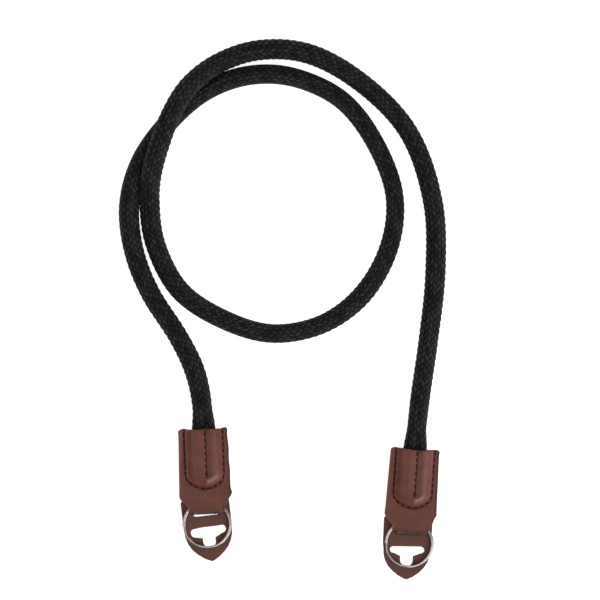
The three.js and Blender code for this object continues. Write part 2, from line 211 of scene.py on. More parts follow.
# How far up the walls and the ceiling show, from 0 at eye level to 1 straight overhead
WALL_HEIGHT = 0.6
CEILING_HEIGHT = 0.88
room = bpy.data.worlds.new("studio_room")
room.use_nodes = True
direction = add(room.node_tree, "TexCoord").outputs["Generated"]
height = add(room.node_tree, "SeparateXYZ", {0: direction}).outputs["Z"]
shades = (0, SKIRTING), (WALL_HEIGHT, WALL), (CEILING_HEIGHT, CEILING)
room_light = ramp(room.node_tree, height, *shades)
background = room.node_tree.nodes["Background"]
room.node_tree.links.new(room_light, background.inputs["Color"])
bpy.context.scene.world = room
print("shades from floor to ceiling:", SKIRTING[0], WALL[0], CEILING[0])

# %% [markdown]
# ## How the ends lie
# Each leather end lies at its own small turn. Its mouth, where the rope goes in, is the origin
# of its own measures: x runs across it and y runs out of the mouth along the rope. A matrix for
# each end takes these measures to their place on the surface. The table also says how far aside
# the rope goes in, and how wide the leather's tan rim is at the mouth and lower down.

# %% The two ends
ends = {
    "left": {"x": -54.05, "y": 37.8, "turn": 2.3, "rope_aside": 0.3, "tan_top": 2.1, "tan_low": 0.6},
    "right": {"x": 54.05, "y": 27.9, "turn": -4.0, "rope_aside": -0.4, "tan_top": 0.7, "tan_low": 0.6},
}
for side, end in ends.items():
    turn = Matrix.Rotation(math.radians(end["turn"]), 4, "Z")
    end["place"] = Matrix.Translation((end["x"] * MM, end["y"] * MM, 0)) @ turn
    print(side, "mouth at", end["x"], end["y"], "mm, turned", end["turn"], "degrees")
# The height of a tab's middle and the rope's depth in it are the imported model's, in mm
TAB_MIDDLE = 5.7425
ROPE_DEPTH_IN_TAB = 23.5

# %% [markdown]
# ## The rope
# The rope is about 9.6 mm thick and passes over itself once at the upper left. Its way is a
# smooth curve through points, each with x, y, how far the rope is lifted off the surface in rope
# diameters, and how wide it looks there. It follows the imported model's to within 0.9 mm. A rope
# that was bent and pulled is not equally thick everywhere, and this one is slimmest where the
# inner loop turns back.

# %% The rope's way
ROPE_DIAMETER = 9.6
# Each row: x, y, how far the rope is lifted in rope diameters, and its width
route = np.array([
    [-54.7, 53.1, 0, 9.9], [-58.5, 68.8, 0, 10.2], [-66.3, 84.7, 0, 9.7], [-80.7, 107.3, 0, 9.7],
    [-88.5, 126.8, 0, 9.8], [-91.5, 148.2, 0, 10.1], [-88.4, 166.4, 0, 10.1], [-79.6, 183.8, 0, 9.8],
    [-58.3, 206.1, 0, 9.7], [-39.3, 215.8, 0, 9.7], [-20.1, 218.5, 0, 9.7], [-2.2, 215.2, 0, 9.3],
    [17.2, 204.9, 0, 9.2], [32.7, 185.3, 0, 9.0], [43.5, 157.2, 0, 8.9], [41.1, 131.3, 0, 9.4],
    [27.7, 106.8, 0, 9.8], [7.5, 91.6, 0, 9.3], [-18.0, 86.5, 0, 9.3], [-41.9, 93.0, 0, 9.6],
    [-65.4, 108.3, 0, 9.8], [-78.1, 132.3, 0, 9.9], [-81.0, 153.7, 0.1, 10.2], [-79.9, 166.7, 0.53, 10.1],
    [-75.4, 182.5, 1, 9.8], [-69.7, 197.5, 1.04, 9.9], [-60.8, 211.8, 0.93, 9.9], [-46.5, 223.4, 0.45, 9.9],
    [-26.0, 230.6, 0, 10.1], [-1.0, 229.1, 0, 10.1], [25.8, 214.8, 0, 9.7], [50.5, 189.3, 0, 9.4],
    [63.1, 153.6, 0, 9.8], [64.4, 117.7, 0, 10.1], [60.7, 82.2, 0, 9.7], [56.5, 52.6, 0, 9.7],
])
# The floats' crests reach a little past the width that the eye sees, and press flat below
CREST_OVER_OUTLINE = 0.28
RESTING_FLAT = 0.15
route_x, route_y, lifts, widths = route.T
crests = widths / 2 + CREST_OVER_OUTLINE
heights = crests * (1 + 2 * lifts) - RESTING_FLAT


def in_tab(end, depth):
    place = end["place"] @ Vector((end["rope_aside"] * MM, -depth * MM, TAB_MIDDLE * MM))
    return np.array(place) / MM


depths = (ROPE_DEPTH_IN_TAB, ROPE_DEPTH_IN_TAB / 3)
into_left = [in_tab(ends["left"], depth) for depth in depths]
into_right = [in_tab(ends["right"], depth) for depth in reversed(depths)]
between_tabs = np.stack([route_x, route_y, heights], axis=1)
way_points = np.array([*into_left, *between_tabs, *into_right])
print("points on the rope's way:", len(way_points))

# %% A smooth line through the points
# Steps from one point of the way to the next
SAMPLES = 60


def smooth_line(points, samples):
    padded = np.vstack([2 * points[0] - points[1], points, 2 * points[-1] - points[-2]])
    stretches = []
    for before, start, stop, after in zip(padded, padded[1:], padded[2:], padded[3:]):
        # The root of each gap sets the pace, so that the line doesn't swing wide at a short gap
        first, middle, last = (
            np.linalg.norm(b - a) ** 0.5 for a, b in ((before, start), (start, stop), (stop, after))
        )
        slope_in = (start - before) / first - (stop - before) / (first + middle)
        slope_out = (stop - start) / middle - (after - start) / (middle + last)
        slope_in = (slope_in + (stop - start) / middle) * middle
        slope_out = (slope_out + (after - stop) / last) * middle
        t = np.linspace(0, 1, samples, endpoint=False)[:, None]
        bend = 2 * start - 2 * stop + slope_in + slope_out
        curve = -3 * start + 3 * stop - 2 * slope_in - slope_out
        stretches.append(start + slope_in * t + curve * t**2 + bend * t**3)
    return np.vstack([*stretches, points[-1:]])


fine_way = smooth_line(way_points, SAMPLES)
fine_way[:, 2] = np.maximum(fine_way[:, 2], ROPE_DIAMETER / 2)
reach = np.concatenate([[0], np.cumsum(np.linalg.norm(np.diff(fine_way, axis=0), axis=1))])
rope_length = reach[-1]


def on_way(distances):
    return np.stack([np.interp(distances, reach, fine_way[:, i]) for i in range(3)], axis=1)


print("rope length in mm:", round(rope_length, 1))

# %% [markdown]
# ## The braid
# The rope's cover is plaited from 32 yarns, sixteen winding to the left and sixteen to the
# right, and each runs over two others and then under two. What shows are sixteen columns of
# slanting floats, which lean to the left and to the right in turn, so that two columns make a
# row of arrow heads. The cover is one closed skin here: its mesh is drawn along the floats, so
# that each float is a pillow of its own and the gaps between them are real valleys. That gives
# a true outline and true shade, which a pattern in the material can't, and the finish adds painted shade in
# the valleys on top.

# %% How one float is shaped
COLUMNS = 16
STEPS_ACROSS = 4
ROWS_PER_FLOAT = 5
FLOAT_PITCH = 3.35
FLOAT_SLANT = 0.65
VALLEY_DEPTH = 0.8


def pillow(share, lowest, sharpness):
    return lowest + (1 - lowest) * np.sin(np.pi * share) ** sharpness


ring_count = int((rope_length / FLOAT_PITCH - FLOAT_SLANT) * ROWS_PER_FLOAT)
print("floats:", COLUMNS * ring_count // ROWS_PER_FLOAT)

# %% The skin of floats
rows = np.arange(ring_count + 1)[:, None] / ROWS_PER_FLOAT
column, across = np.divmod(np.arange(COLUMNS * STEPS_ACROSS) / STEPS_ACROSS, 1)
leans_left = column % 2
angle = 2 * math.pi * (column + across) / COLUMNS
slant = FLOAT_SLANT * np.where(leans_left, 1 - across, across)
along = (rows + slant) * FLOAT_PITCH
in_pitch = (rows + 0.5 * leans_left) % 1
fullness = pillow(across, lowest=0.3, sharpness=0.5) * pillow(in_pitch, lowest=0.15, sharpness=0.7)
along *= rope_length / along.max()
along[0, :] = 0
along[-1, :] = rope_length
along, fullness = along.ravel(), fullness.ravel()
print("rings of the skin:", ring_count + 1, "corners in a ring:", COLUMNS * STEPS_ACROSS)

# %% Where the skin's corners lie
# The cover turns to and fro a little along the rope: radians, and mm to a radian of the wave
TWIST = 0.35
TWIST_RUN = 150
HEADING_REACH = 0.5
line = on_way(along)
heading = on_way(along + HEADING_REACH) - on_way(along - HEADING_REACH)
heading /= np.linalg.norm(heading, axis=1)[:, None]
sideward = np.cross(heading, [0, 0, 1])
sideward /= np.linalg.norm(sideward, axis=1)[:, None]
upward = np.cross(sideward, heading)
turned = np.tile(angle, ring_count + 1) + TWIST * np.sin(along / TWIST_RUN)
in_pocket = [ROPE_DIAMETER / 2] * len(depths)
crest = np.interp(along, reach[::SAMPLES], [*in_pocket, *crests, *in_pocket])
radius = crest - VALLEY_DEPTH * (1 - fullness)
offset = radius[:, None] * (np.cos(turned)[:, None] * sideward + np.sin(turned)[:, None] * upward)
print("radius in mm from", radius.min().round(2), "to", radius.max().round(2))

# %% [markdown]
# ## The rope in its pockets
# In its pocket the rope is squeezed flat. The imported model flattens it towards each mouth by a
# smooth rule, and the braid follows the same rule, so that it stays clear of the leather. On the
# real strap the middle seam is sewn a little to the right, so what lies round it, leather and
# rope alike, slides to that side.

# %% The room in a pocket
# The rope in its pocket: its width, how far in front of the mouth it starts to flatten, how
# fully it keeps its height, the gap under the roof, and how far out of the mouth it stays flat
ROPE_WIDTH_IN_TAB = 12.2
ROPE_FLATTENING = 12
ROPE_FILL = 1.09
ROPE_EASE = 0.5
CLEARANCE = 0.3
# The pocket's roof: half its width, its rise above the tab's middle, and the middle seam's groove
ROOF_HALF_WIDTH = 10
ROOF_RISE = 4.3
GROOVE_HALF_WIDTH = 3.4
GROOVE_DEPTH = 1.3
# How far the groove sits to the right, how far that reaches sideways, and where it fades out
GROOVE_ASIDE = 1.2
GROOVE_REACH = 4.5
SLIDE_END = -31
SLIDE_FADE = 4


def eased(share):
    t = np.clip(share, 0, 1)
    return t * t * (3 - 2 * t)


def pocket_roof(across):
    share = np.abs(across) / ROOF_HALF_WIDTH
    groove = np.maximum(0, 1 - (across / GROOVE_HALF_WIDTH) ** 2) ** 2
    return ROOF_RISE * (1 - share**3) - GROOVE_DEPTH * groove


def slide_aside(points):
    beside = np.exp(-((points[:, 0] / GROOVE_REACH) ** 2))
    above_fold = np.clip((points[:, 1] - SLIDE_END) / SLIDE_FADE, 0, 1)
    return GROOVE_ASIDE * beside * above_fold * eased(1 - points[:, 1] / ROPE_FLATTENING)


# %% The squeezed stretches at the mouths
for side, end in ends.items():
    end_angle = math.radians(end["turn"])
    across_end = np.array([math.cos(end_angle), math.sin(end_angle), 0])
    outward = np.array([-across_end[1], across_end[0], 0])
    mouth = np.array([end["x"], end["y"], TAB_MIDDLE])
    near = np.linalg.norm(line - mouth, axis=1) < ROPE_DEPTH_IN_TAB + ROPE_DIAMETER
    outside = (line[near] - mouth) @ outward
    roundness = eased((outside - CLEARANCE) / (ROPE_FLATTENING - CLEARANCE))
    sideways = offset[near] @ across_end
    up = offset[near][:, 2]
    to_unit_width = 0.5 / crest[near]
    flat_side = sideways * to_unit_width * ROPE_WIDTH_IN_TAB
    roof = np.maximum(pocket_roof(flat_side) - ROPE_EASE, 0)
    full_height = ROPE_FILL * ROPE_DIAMETER * to_unit_width * np.abs(up)
    flat_up = np.sign(up) * np.minimum(full_height, roof)
    new_side = flat_side + (sideways - flat_side) * roundness
    new_up = flat_up + (up - flat_up) * roundness
    aside = slide_aside(np.stack([new_side, outside], axis=1))
    offset[near] += np.outer(new_side + aside - sideways, across_end)
    offset[near, 2] += new_up - up
    print(side, "end: squeezed corners of the skin:", int((roundness < 1).sum()))
skin = (line + offset) * MM
skin[:, 2] = np.maximum(skin[:, 2], 0)

# %% The skin as a mesh, with each float's own place in a map
around = COLUMNS * STEPS_ACROSS
ring, spot = np.meshgrid(np.arange(ring_count), np.arange(around), indexing="ij")
here, beside = ring * around + spot, ring * around + (spot + 1) % around
faces = np.stack([here, here + around, beside + around, beside], axis=-1).reshape(-1, 4)
u_start = spot / STEPS_ACROSS
v_start = ring / ROWS_PER_FLOAT + 0.5 * (spot // STEPS_ACROSS % 2)
u_stop = u_start + 1 / STEPS_ACROSS
v_stop = v_start + 1 / ROWS_PER_FLOAT
u = np.stack([u_start, u_start, u_stop, u_stop], axis=-1)
v = np.stack([v_start, v_stop, v_stop, v_start], axis=-1)
braid_map = np.stack([u, v], axis=-1).reshape(-1, 2)
last_ring = range(ring_count * around, (ring_count + 1) * around)
caps = [list(range(around)), list(reversed(last_ring))]
mesh = bpy.data.meshes.new("rope_braid")
mesh.from_pydata(skin.tolist(), [], faces.tolist() + caps)
mesh.update()
layer = mesh.uv_layers.new(name="braid")
flat_map = np.vstack([braid_map, np.zeros((2 * around, 2))])
layer.data.foreach_set("uv", flat_map.ravel())
rope_braid = bpy.data.objects.new("rope_braid", mesh)
bpy.context.scene.collection.objects.link(rope_braid)
print("rope faces:", len(mesh.polygons))

# %% The rope hung on the root, and points along its way
CORD_POINTS = 316
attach(rope_braid, "root")
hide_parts("rope")
path = on_way(np.linspace(0, rope_length, CORD_POINTS)) * MM
print("points on the cord's path:", len(path))

# %% [markdown]
# ## Black braid
# Each float is a bundle of fine, slightly twisted fibres. The map that the skin carries says
# where on its float each point is, so thin lines run along every float, painted shade darkens
# the gaps between the floats, and each float has its own small difference in tone.

# %% The braid's finish
# How sharply the painted shade darkens a float towards its rims, across the column and along it
RIM_SHARPNESS = {"X": 4.5, "Y": 1.8}
# What is left of a float's colour where the painted shade is deepest, in the valleys
VALLEY_SHADE = 0.03
TONES = (0.45, 1.55)
# How closely the fibres lie, across the column and along it
FIBRES = (1.3, 5, 0)
braid_black, tree, shader = start_finish("black_braid")
on_float = add(tree, "UVMap", uv_map="braid").outputs[0]
in_float = add(tree, "VectorMath", {0: on_float}, operation="FRACTION").outputs[0]
which_float = add(tree, "VectorMath", {0: on_float}, operation="FLOOR").outputs[0]
tone = add(tree, "TexWhiteNoise", {"Vector": which_float}, noise_dimensions="2D").outputs["Value"]
parts = add(tree, "SeparateXYZ", {0: in_float}).outputs
# Painted shade: each float's colour darkens towards its rims, into the valleys between floats
rims = []
for axis, sharpness in RIM_SHARPNESS.items():
    from_middle = maths(tree, "ABSOLUTE", between(tree, parts[axis], -1, 1))
    rims.append(maths(tree, "POWER", from_middle, sharpness))
painted_valley_shade = between(tree, maths(tree, "MAXIMUM", *rims), 1, VALLEY_SHADE)
bright = maths(tree, "MULTIPLY", painted_valley_shade, between(tree, tone, *TONES))
fibre_place = add(tree, "VectorMath", {0: on_float, 1: FIBRES}, operation="MULTIPLY").outputs[0]
fibres = add(
    tree,
    "TexWave",
    {"Vector": fibre_place, "Scale": 1, "Distortion": 1.5, "Detail": 2, "Detail Scale": 2},
    bands_direction="DIAGONAL",
).outputs["Fac"]
fluff = add(tree, "TexNoise", {"Vector": millimetres(tree), "Scale": 3.5, "Detail": 3}).outputs["Fac"]
threads = ramp(tree, fibres, (0, (0.55, 0.55, 0.55)), (1, (1.2, 1.2, 1.2)))
yarn = ramp(tree, fluff, (0.3, (0.025, 0.025, 0.026)), (0.7, (0.048, 0.048, 0.05)))
mixed = add(tree, "VectorMath", {0: yarn, 1: threads}, operation="MULTIPLY").outputs[0]
colour = add(tree, "VectorMath", {0: mixed, "Scale": bright}, operation="SCALE").outputs[0]
relief = maths(tree, "ADD", fibres, maths(tree, "MULTIPLY", fluff, 0.6))
bump = add(tree, "Bump", {"Height": relief, "Strength": 0.5, "Distance": 0.12 * MM}).outputs[0]
set_input(tree, shader, "Base Color", colour)
set_input(tree, shader, "Normal", bump)
set_input(tree, shader, "Roughness", between(tree, fluff, 0.42, 0.72))
set_input(tree, shader, "Specular IOR Level", 0.12)
set_input(tree, shader, "Sheen Weight", 0.05)
set_input(tree, shader, "Sheen Roughness", 0.4)
rope_braid.data.materials.append(braid_black)
pick(rope_braid)
bpy.ops.object.shade_smooth()
print(braid_black.name, "nodes:", len(tree.nodes))

# %% [markdown]
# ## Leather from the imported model
# Cut leather has soft corners and a skin that is never quite flat. A copy of each packed
# leather solid is wrapped again in a fine, even mesh, and smoothing rounds its corners by a few
# tenths of a millimetre. On that even mesh the seams can then be pressed in point by point, as
# a needle and a drawn thread do. Bevels alone would break on the pillow's many small faces.

# %% A soft-edged copy of a leather node
WELD_REACH = 0.002


def soft_copy(node, name, mesh_size, rounds):
    piece = bpy.data.objects.new(name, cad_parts[node].data.copy())
    piece.data.name = name
    piece.data.materials.clear()
    bpy.context.scene.collection.objects.link(piece)
    pick(piece)
    bpy.ops.object.mode_set(mode="EDIT")
    bpy.ops.mesh.select_all(action="SELECT")
    bpy.ops.mesh.remove_doubles(threshold=WELD_REACH * MM)
    bpy.ops.object.mode_set(mode="OBJECT")
    skin = piece.modifiers.new("even_skin", "REMESH")
    skin.mode = "VOXEL"
    skin.voxel_size = mesh_size * MM
    skin.use_smooth_shade = True
    rounding = piece.modifiers.new("round_corners", "SMOOTH")
    rounding.factor = 0.5
    rounding.iterations = rounds
    for modifier in ("even_skin", "round_corners"):
        bpy.ops.object.modifier_apply(modifier=modifier)
    bpy.ops.object.shade_smooth()
    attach(piece, "root")
    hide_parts(node)
    print(name, "faces:", len(piece.data.polygons))
    return piece


# %% [markdown]
# ## Points in an end's own measures
# Blender hands over a mesh's points and the ways they face as one long list of numbers. These
# helpers read such a list, turn it into the measures of an end, in millimetres, and put changed
# points back. They also let each point carry a value of its own, which a finish can read later.

# %% Helpers for points
def read_vectors(source, key):
    values = np.empty(len(source) * 3)
    source.foreach_get(key, values)
    return values.reshape(-1, 3)


def to_end(points, end):
    back = np.array(end["place"].inverted())
    return (points @ back[:3, :3].T + back[:3, 3]) / MM


def places_of(piece, end):
    return to_end(read_vectors(piece.data.vertices, "co"), end)


def facing_of(piece, end):
    back = np.array(end["place"].inverted())
    return read_vectors(piece.data.vertex_normals, "vector") @ back[:3, :3].T


def move_points(piece, places, end):
    place = np.array(end["place"])
    points = places * MM @ place[:3, :3].T + place[:3, 3]
    piece.data.vertices.foreach_set("co", points.ravel())
    piece.data.update()


def set_attribute(piece, name, values):
    layer = piece.data.attributes.new(name, "FLOAT", "POINT")
    layer.data.foreach_set("value", np.asarray(values, np.float32))


# %% [markdown]
# ## The seams' lines
# One seam runs round the rope end in a U, just outside the pillow, and a short one runs down
# the middle and holds the rope. Both are drawn in the end's own measures, and the stitches and
# the pressed channel follow the same lines.

# %% The U and the middle line
SEAM_ASIDE = 9.95
SEAM_SHIFT = 0.25
SEAM_BEND = 7.5
SEAM_STRAIGHT = 22.7
MIDDLE_SEAM = 24.1
STITCH_PITCH = 3.3
FIRST_HOLE = 0.9
STRAIGHT_POINTS = 120
BEND_POINTS = 180
straight = np.linspace(0, SEAM_STRAIGHT, STRAIGHT_POINTS, endpoint=False)
round_bend = np.linspace(math.pi, 2 * math.pi, BEND_POINTS)
bend_down = -SEAM_STRAIGHT + SEAM_BEND * np.sin(round_bend)
u_seam = np.vstack([
    np.stack([np.full_like(straight, -SEAM_ASIDE), -straight], axis=1),
    np.stack([SEAM_ASIDE * np.cos(round_bend), bend_down], axis=1),
    np.stack([np.full_like(straight, SEAM_ASIDE), -straight[::-1]], axis=1),
]) + [SEAM_SHIFT, 0]
down_middle = -np.linspace(0, MIDDLE_SEAM, STRAIGHT_POINTS)
middle_seam = np.stack([np.full(STRAIGHT_POINTS, GROOVE_ASIDE), down_middle], axis=1)


def seam_holes(seam):
    steps = np.linalg.norm(np.diff(seam, axis=0), axis=1)
    distances = np.concatenate([[0], np.cumsum(steps)])
    count = int((distances[-1] - FIRST_HOLE) / STITCH_PITCH + 0.5)
    holes = np.linspace(FIRST_HOLE, distances[-1], count + 1)
    return np.stack([np.interp(holes, distances, seam[:, i]) for i in (0, 1)], axis=1)


u_holes = seam_holes(u_seam)
middle_holes = seam_holes(middle_seam)
print("holes in the U:", len(u_holes), "in the middle:", len(middle_holes))

# %% [markdown]
# ## Leather that has been handled
# No two cut pieces are alike. Hands and the rope have pulled the tabs' mouths and shoulders and
# the slots of the protectors a few tenths of a millimetre out of true. Sculpting's grab brush
# would do that by eye. Here each pull is a row of numbers, so that it can be repeated: a place
# in the end's own measures, how far the pull reaches, and how far it moves the leather.

# %% Pulls on the tabs and the protectors
# Each row: x, y, how far the pull reaches, and how far it moves the leather right and up
ends["left"]["tab_pulls"] = [
    (1.8, -0.4, 5, 0, 0.3), (-12.1, -0.7, 1.5, -0.3, 0.15), (-9.8, -0.4, 1.8, 0.4, 0.8),
    (11.3, -0.5, 2, 0.35, 0.8), (12.6, -9.8, 4, 0.35, 0), (12.8, -21.4, 4, 0.3, 0.2),
    (12.9, -34.2, 2.5, 0.6, 1.4), (9.5, -38.9, 2.5, 0.85, 0), (8.9, -41.2, 2, 1, 0),
    (-6.3, -42.3, 1.1, 0, -0.9), (6.3, -42.3, 1.1, 0, -0.8),
]
ends["right"]["tab_pulls"] = [
    (1.3, -0.3, 5, 0, -0.55), (-9.8, -0.6, 1.5, -0.1, 0.35), (10.1, -0.2, 1.5, 0, 0.3),
    (12, -0.7, 1.5, 0.35, 0.1), (13, -35.2, 2.5, 0.15, 1.5), (9.5, -38.3, 2.5, 1.25, 0.1),
    (8.7, -40.4, 2.2, 0.95, -0.2), (-6.3, -42.6, 1.2, 0, -1.2), (-4.3, -43.2, 1.8, 0, -0.5),
    (0, -43.3, 2.5, 0, -0.6), (4.5, -43.3, 2.5, 0, -0.6), (6.5, -42.6, 1.2, 0, -0.9),
]
ends["left"]["protector_pulls"] = [
    (1.7, -66.5, 6, 0.35, -0.95), (-6.4, -54.5, 2.5, 0, -1), (-2.7, -54.9, 2.5, 0, -0.9),
    (-6.9, -50.4, 2.5, 0, -0.35), (8.6, -49.2, 2, 0, 0.2), (4.5, -54.4, 2.5, 0, -1),
    (0.9, -59.8, 3, -0.1, -0.4),
]
ends["right"]["protector_pulls"] = [
    (-0.1, -66.1, 6, 0.35, -0.7), (-8.3, -49.7, 2.6, 0.2, -0.9), (-4, -49.6, 2.6, 0, -0.7),
    (0.1, -49.5, 2.6, 0, -0.55), (4, -49.5, 2.6, 0, -0.4), (7.5, -49.4, 2.6, -0.2, -0.3),
    (-9.5, -52, 2, 0.6, -0.6), (-3.8, -54.4, 2.6, 0, -0.8), (3, -54.5, 2.6, 0, -0.7),
    (0, -59.8, 3, 0, -0.25), (-12.5, -52.1, 3, 0.25, 0),
]

# %% Pulling leather out of true
def pull_leather(places, pulls):
    weights, moves = [], []
    for x, y, width, right, up in pulls:
        away = (places[:, 0] - x) ** 2 + (places[:, 1] - y) ** 2
        weights.append(np.exp(-away / width**2))
        moves.append((right, up))
    weights = np.array(weights) / np.maximum(np.sum(weights, axis=0), 1)
    shift = weights.T @ np.array(moves)
    places[:, :2] += shift
    print("largest pull in mm:", np.linalg.norm(shift, axis=1).max().round(2))


# %% [markdown]
# ## Rims and folds of a tab
# In the photograph a tab has a tan rim on its left, a dark line along its right edge, and gets
# darker where it turns down into the fold. The two rims follow the outline, so that is found
# first: the tab is divided into narrow bands across it, and the outermost points of each band
# are its edges. Painting by hand would do the same, but here the rims follow every pull.
# The dark right line and the fold's darkening are painted shade; the tan rim is partly painted light.

# %% Shading a tab's rims
BAND_HEIGHT = 0.5
BANDS = 96
BANDS_START = -45
TAN_FADE = 26
DARK_RIM_WIDTH = 1.0
RIM_SOFTNESS = 0.35
# Painted shade darkens the leather from here down into the fold, over the fade's length in mm
FOLD_SHADE_FROM = -40.6
FOLD_SHADE_FADE = 2
FRONT_FACING = 0.1


def within(width, distance):
    return np.clip((width - distance) / RIM_SOFTNESS + 0.5, 0, 1)


def shade_rims(tab, places, facing, end):
    band = ((places[:, 1] - BANDS_START) / BAND_HEIGHT).astype(int)
    band = np.clip(band, 0, BANDS - 1)
    leftmost, rightmost = np.zeros(BANDS), np.zeros(BANDS)
    np.minimum.at(leftmost, band, places[:, 0])
    np.maximum.at(rightmost, band, places[:, 0])
    front = (facing[:, 2] > FRONT_FACING) & (places[:, 2] > TAB_MIDDLE)
    towards_mouth = np.clip(1 + places[:, 1] / TAN_FADE, 0, 1)
    tan_width = end["tan_low"] + (end["tan_top"] - end["tan_low"]) * towards_mouth
    from_left = places[:, 0] - leftmost[band]
    from_right = rightmost[band] - places[:, 0]
    # The tan rim is the cut edge's own tan, and partly painted light from the left; the dark right line is
    # painted shade
    set_attribute(tab, "tan_rim_and_painted_light", within(tan_width, from_left) * front)
    set_attribute(tab, "right_rim_shade", within(DARK_RIM_WIDTH, from_right) * front)
    # Painted shade where the tab turns down into the fold
    set_attribute(tab, "folded", np.clip((FOLD_SHADE_FROM - places[:, 1]) / FOLD_SHADE_FADE, 0, 1))


# %% [markdown]
# ## Pressing the seams in
# A drawn thread pulls the leather down into a shallow channel, and each needle hole is a deeper
# dimple in it. The distance of each point on the outer skin from the seams' lines and from the
# holes says how far it is pressed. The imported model's groove under the middle seam is plain and
# wide, so on the front it is filled a little, and the channel draws a finer line in it.

# %% Pressing the seams into a tab
TAB_LEATHER = 1.6
SKIN_REACH = 0.5
SEWN_REACH = 2
CHANNEL_DEPTH = 0.28
CHANNEL_WIDTH = 0.55
HOLE_DEPTH = 0.3
HOLE_WIDTH = 0.48
GROOVE_FULLNESS = 0.35
GROOVE_WIDTH = 1.6
FULLNESS_FADE = 3
PARTING_WIDTH = 0.22
PARTING_END = -30.5
# How far up or down the skin and the cut edges face, from 0 sideways to 1 straight up or down
SKIN_FACING = 0.4
TAB_EDGE_FACING = 0.6
EDGE_SOFTNESS = 0.3
# Where the leather faces further down the tab than this, it is the fold and not a cut edge
FOLD_FACING = -0.85


def bell(distance, width):
    return np.exp(-((distance / width) ** 2))


def cut_edges(facing, limit):
    return np.clip((limit - np.abs(facing[:, 2])) / EDGE_SOFTNESS, 0, 1)


def nearest(points, targets):
    best = np.full(len(points), np.inf)
    for target in targets:
        best = np.minimum(best, ((points - target) ** 2).sum(axis=1))
    return np.sqrt(best)


def press_seams(tab, end):
    places = places_of(tab, end)
    places[:, 0] += slide_aside(places)
    pull_leather(places, end["tab_pulls"])
    facing = facing_of(tab, end)
    flat = places[:, :2]
    above = places[:, 2] - TAB_MIDDLE
    outer_skin = (np.abs(facing[:, 2]) > SKIN_FACING) & (facing[:, 2] * above > 0)
    outer_skin &= np.abs(above) > TAB_LEATHER - SKIN_REACH
    sewn = outer_skin & (flat[:, 1] > -SEAM_STRAIGHT - SEAM_BEND - SEWN_REACH)
    to_u, to_middle, to_hole = (np.full(len(places), np.inf) for _ in range(3))
    to_u[sewn] = nearest(flat[sewn], u_seam)
    to_middle[sewn] = nearest(flat[sewn], middle_seam)
    to_hole[sewn] = nearest(flat[sewn], np.vstack([u_holes, middle_holes]))
    channel = bell(np.minimum(to_u, to_middle), CHANNEL_WIDTH)
    hole = bell(to_hole, HOLE_WIDTH)
    front = sewn & (facing[:, 2] > 0)
    fullness = bell(flat[:, 0] - GROOVE_ASIDE, GROOVE_WIDTH)
    fullness *= np.clip(-flat[:, 1] / FULLNESS_FADE, 0, 1)
    press = CHANNEL_DEPTH * channel + HOLE_DEPTH * hole - GROOVE_FULLNESS * fullness * front
    places -= facing * press[:, None]
    move_points(tab, places, end)
    cut_edge = cut_edges(facing, TAB_EDGE_FACING) * (facing[:, 1] > FOLD_FACING)
    parting = bell(places[:, 2] - TAB_MIDDLE, PARTING_WIDTH) * (places[:, 1] > PARTING_END)
    set_attribute(tab, "cut_edge", cut_edge)
    # The channel and the holes also mask painted shade in the finish
    set_attribute(tab, "channel_shade", channel)
    set_attribute(tab, "hole", hole)
    shade_rims(tab, places, facing, end)
    set_attribute(tab, "parting", parting * cut_edge)


# %% The tabs
TAB_MESH = 0.28
tabs = {}
for side, end in ends.items():
    tabs[side] = soft_copy(f"tab_{side}", f"tab_{side}_leather", TAB_MESH, rounds=6)
    press_seams(tabs[side], end)

# %% [markdown]
# ## The protectors
# A protector is one flat piece of leather with no seam, so its copy is only rounded and pulled.
# Its cut edges are found by how far each point faces sideways.

# %% The protectors
PROTECTOR_MESH = 0.26
PROTECTOR_EDGE_FACING = 0.7
protectors = {}
for side, end in ends.items():
    piece = soft_copy(f"protector_{side}", f"protector_{side}_leather", PROTECTOR_MESH, rounds=4)
    places = places_of(piece, end)
    pull_leather(places, end["protector_pulls"])
    move_points(piece, places, end)
    set_attribute(piece, "cut_edge", cut_edges(facing_of(piece, end), PROTECTOR_EDGE_FACING))
    protectors[side] = piece

# %% [markdown]
# ## Leather finishes
# The tabs are smooth, waxed, reddish brown leather with a soft gloss. Up close it has fine
# pores and slow changes of tone. Painted shade darkens the seams' channels and needle holes,
# each tab's right rim and its fold, and the cut edges show rougher, lighter leather with a dark
# line between the two layers. The protectors are duller and their edges are dyed dark. One
# recipe serves both with its own colours each.

# %% A leather finish
# How much of its colour the leather loses at each mark: the parting is a dark joint, the rest is painted
# shade
JOINT_AND_PAINTED_SHADE = {"channel_shade": 0.2, "hole": 0.35, "parting": 0.75, "right_rim_shade": 0.6, "folded": 0.78}
EDGE_SHARE = 0.8
TAN_SHARE = 0.75
PORE_WIDTH = 0.12
PORE_DEPTH = 2.2
SPECK_ROUGHNESS = 0.2
EDGE_ROUGHNESS = 0.25


def mark_on(tree, mark):
    return add(tree, "Attribute", attribute_name=mark).outputs["Fac"]


